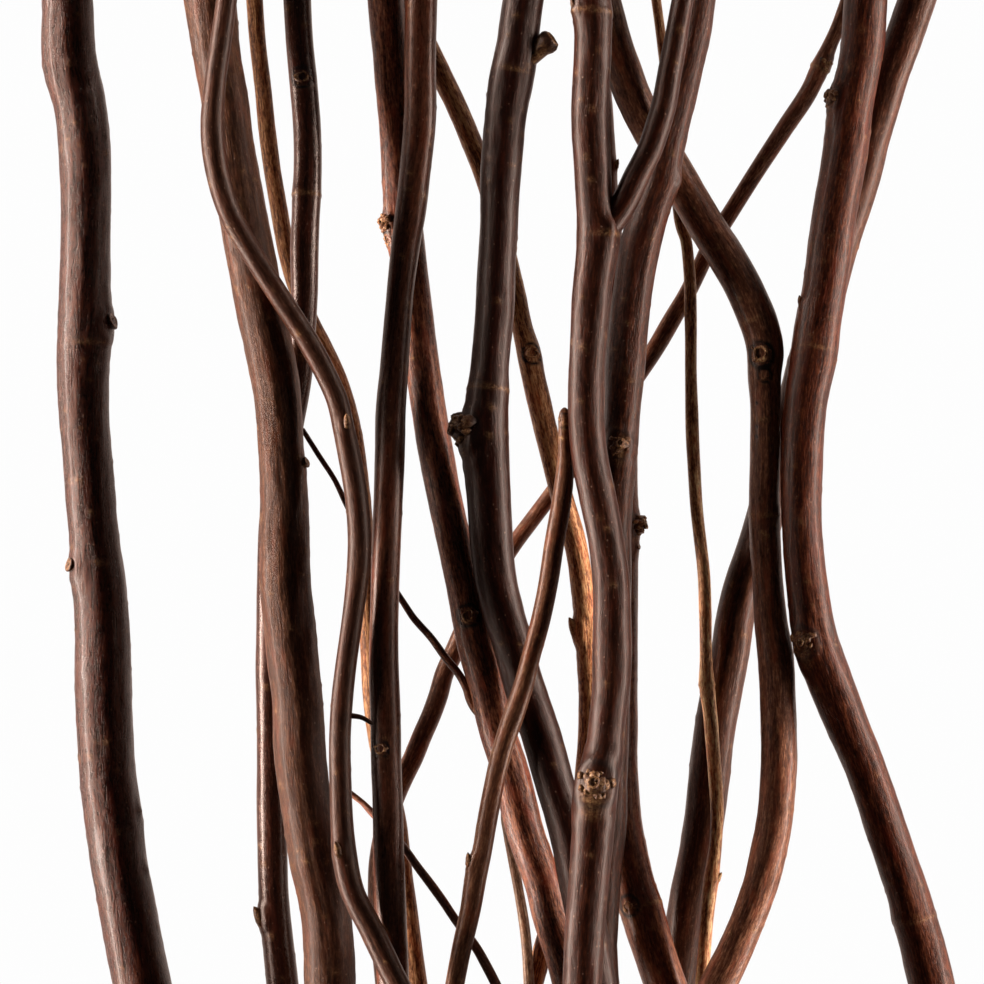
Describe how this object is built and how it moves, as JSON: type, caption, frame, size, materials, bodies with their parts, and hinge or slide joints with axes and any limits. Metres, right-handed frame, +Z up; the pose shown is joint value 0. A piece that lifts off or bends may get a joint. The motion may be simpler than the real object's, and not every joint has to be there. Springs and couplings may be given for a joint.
{
  "type": "bunch of cut curly willow stems",
  "caption": "Loose bunch of cut curly willow stems with dark red-brown bark, knots and thin curling tops, lying on a surface.",
  "frame": {"origin": "on the surface that the bunch lies on, under the middle of its outer box", "axes": "+Y along the stems towards their thin tops, +X across the bunch, +Z up"},
  "size_m": [0.247, 0.5638, 0.0596],
  "materials": {
    "bark_red_brown": "satin",
    "bark_dark": "satin",
    "bark_grey_brown": "satin",
    "bark_tan": "satin"
  },
  "bodies": {
    "root": {"stem_01": "bark_red_brown", "stem_02": "bark_grey_brown", "stem_03": "bark_dark", "stem_04": "bark_grey_brown", "stem_05": "bark_tan", "stem_06": "bark_red_brown", "stem_07": "bark_dark", "stem_08": "bark_dark", "stem_09": "bark_dark", "stem_10": "bark_tan", "stem_11": "bark_red_brown", "stem_12": "bark_dark", "stem_13": "bark_red_brown", "stem_14": "bark_grey_brown", "stem_15": "bark_dark", "stem_16": "bark_tan", "stem_17": "bark_red_brown", "stem_18": "bark_grey_brown", "twig_19": "bark_dark", "twig_20": "bark_tan"}
  },
  "joints": []
}
